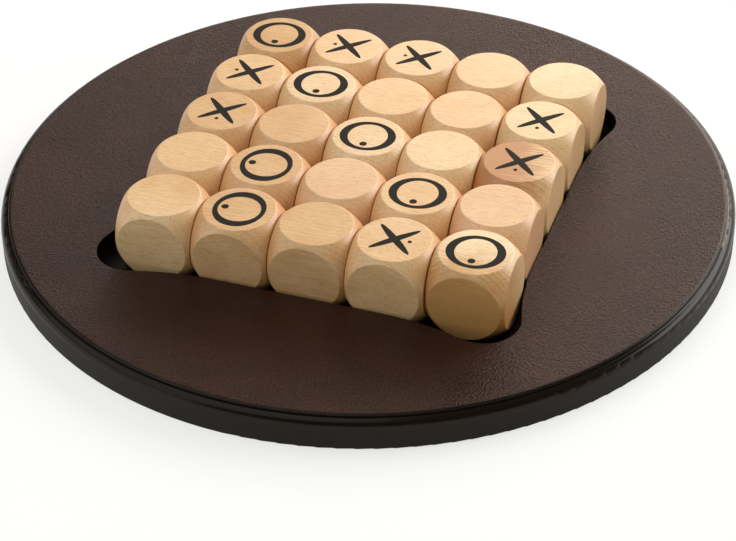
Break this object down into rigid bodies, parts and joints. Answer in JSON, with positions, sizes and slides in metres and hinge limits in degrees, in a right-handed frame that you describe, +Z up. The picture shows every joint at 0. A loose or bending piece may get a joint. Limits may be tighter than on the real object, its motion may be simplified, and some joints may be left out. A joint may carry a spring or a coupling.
{
  "type": "sliding cube strategy game",
  "caption": "Round lacquered wooden board with a sunk square tray of loose ball-cornered wooden cubes that lift out and slide in rows.",
  "frame": {"origin": "centre of the board's flat underside", "axes": "+X to the right along the front row of cubes, +Y to the back, +Z up out of the tray"},
  "size_m": [0.2679, 0.2678, 0.0324],
  "materials": {
    "board_lacquer": "dark brown satin lacquer on wood, fine orange-peel texture on the top face",
    "cube_wood": "clear satin lacquer on pale beech",
    "mark_ink": "matt black-green pad-printed ink, on the visual model's thin marks only"
  },
  "bodies": {
    "board": {"board": "board_lacquer"},
    "cube_a1": {"cube_a1": "cube_wood"},
    "cube_a2": {"cube_a2": "cube_wood"},
    "cube_a3": {"cube_a3": "cube_wood"},
    "cube_a4": {"cube_a4": "cube_wood"},
    "cube_a5": {"cube_a5": "cube_wood"},
    "cube_b1": {"cube_b1": "cube_wood"},
    "cube_b2": {"cube_b2": "cube_wood"},
    "cube_b3": {"cube_b3": "cube_wood"},
    "cube_b4": {"cube_b4": "cube_wood"},
    "cube_b5": {"cube_b5": "cube_wood"},
    "cube_c1": {"cube_c1": "cube_wood"},
    "cube_c2": {"cube_c2": "cube_wood"},
    "cube_c3": {"cube_c3": "cube_wood"},
    "cube_c4": {"cube_c4": "cube_wood"},
    "cube_c5": {"cube_c5": "cube_wood"},
    "cube_d1": {"cube_d1": "cube_wood"},
    "cube_d2": {"cube_d2": "cube_wood"},
    "cube_d3": {"cube_d3": "cube_wood"},
    "cube_d4": {"cube_d4": "cube_wood"},
    "cube_d5": {"cube_d5": "cube_wood"},
    "cube_e1": {"cube_e1": "cube_wood"},
    "cube_e2": {"cube_e2": "cube_wood"},
    "cube_e3": {"cube_e3": "cube_wood"},
    "cube_e4": {"cube_e4": "cube_wood"},
    "cube_e5": {"cube_e5": "cube_wood"}
  },
  "joints": [
    {"name": "cube_a1_lift", "type": "slide", "parent": "board", "child": "cube_a1", "axis": [0, 0, 1], "range_m": [0, 0.06]},
    {"name": "cube_a2_lift", "type": "slide", "parent": "board", "child": "cube_a2", "axis": [0, 0, 1], "range_m": [0, 0.06]},
    {"name": "cube_a3_lift", "type": "slide", "parent": "board", "child": "cube_a3", "axis": [0, 0, 1], "range_m": [0, 0.06]},
    {"name": "cube_a4_lift", "type": "slide", "parent": "board", "child": "cube_a4", "axis": [0, 0, 1], "range_m": [0, 0.06]},
    {"name": "cube_a5_lift", "type": "slide", "parent": "board", "child": "cube_a5", "axis": [0, 0, 1], "range_m": [0, 0.06]},
    {"name": "cube_b1_lift", "type": "slide", "parent": "board", "child": "cube_b1", "axis": [0, 0, 1], "range_m": [0, 0.06]},
    {"name": "cube_b2_lift", "type": "slide", "parent": "board", "child": "cube_b2", "axis": [0, 0, 1], "range_m": [0, 0.06]},
    {"name": "cube_b3_lift", "type": "slide", "parent": "board", "child": "cube_b3", "axis": [0, 0, 1], "range_m": [0, 0.06]},
    {"name": "cube_b4_lift", "type": "slide", "parent": "board", "child": "cube_b4", "axis": [0, 0, 1], "range_m": [0, 0.06]},
    {"name": "cube_b5_lift", "type": "slide", "parent": "board", "child": "cube_b5", "axis": [0, 0, 1], "range_m": [0, 0.06]},
    {"name": "cube_c1_lift", "type": "slide", "parent": "board", "child": "cube_c1", "axis": [0, 0, 1], "range_m": [0, 0.06]},
    {"name": "cube_c2_lift", "type": "slide", "parent": "board", "child": "cube_c2", "axis": [0, 0, 1], "range_m": [0, 0.06]},
    {"name": "cube_c3_lift", "type": "slide", "parent": "board", "child": "cube_c3", "axis": [0, 0, 1], "range_m": [0, 0.06]},
    {"name": "cube_c4_lift", "type": "slide", "parent": "board", "child": "cube_c4", "axis": [0, 0, 1], "range_m": [0, 0.06]},
    {"name": "cube_c5_lift", "type": "slide", "parent": "board", "child": "cube_c5", "axis": [0, 0, 1], "range_m": [0, 0.06]},
    {"name": "cube_d1_lift", "type": "slide", "parent": "board", "child": "cube_d1", "axis": [0, 0, 1], "range_m": [0, 0.06]},
    {"name": "cube_d2_lift", "type": "slide", "parent": "board", "child": "cube_d2", "axis": [0, 0, 1], "range_m": [0, 0.06]},
    {"name": "cube_d3_lift", "type": "slide", "parent": "board", "child": "cube_d3", "axis": [0, 0, 1], "range_m": [0, 0.06]},
    {"name": "cube_d4_lift", "type": "slide", "parent": "board", "child": "cube_d4", "axis": [0, 0, 1], "range_m": [0, 0.06]},
    {"name": "cube_d5_lift", "type": "slide", "parent": "board", "child": "cube_d5", "axis": [0, 0, 1], "range_m": [0, 0.06]},
    {"name": "cube_e1_lift", "type": "slide", "parent": "board", "child": "cube_e1", "axis": [0, 0, 1], "range_m": [0, 0.06]},
    {"name": "cube_e2_lift", "type": "slide", "parent": "board", "child": "cube_e2", "axis": [0, 0, 1], "range_m": [0, 0.06]},
    {"name": "cube_e3_lift", "type": "slide", "parent": "board", "child": "cube_e3", "axis": [0, 0, 1], "range_m": [0, 0.06]},
    {"name": "cube_e4_lift", "type": "slide", "parent": "board", "child": "cube_e4", "axis": [0, 0, 1], "range_m": [0, 0.06]},
    {"name": "cube_e5_lift", "type": "slide", "parent": "board", "child": "cube_e5", "axis": [0, 0, 1], "range_m": [0, 0.06]}
  ]
}
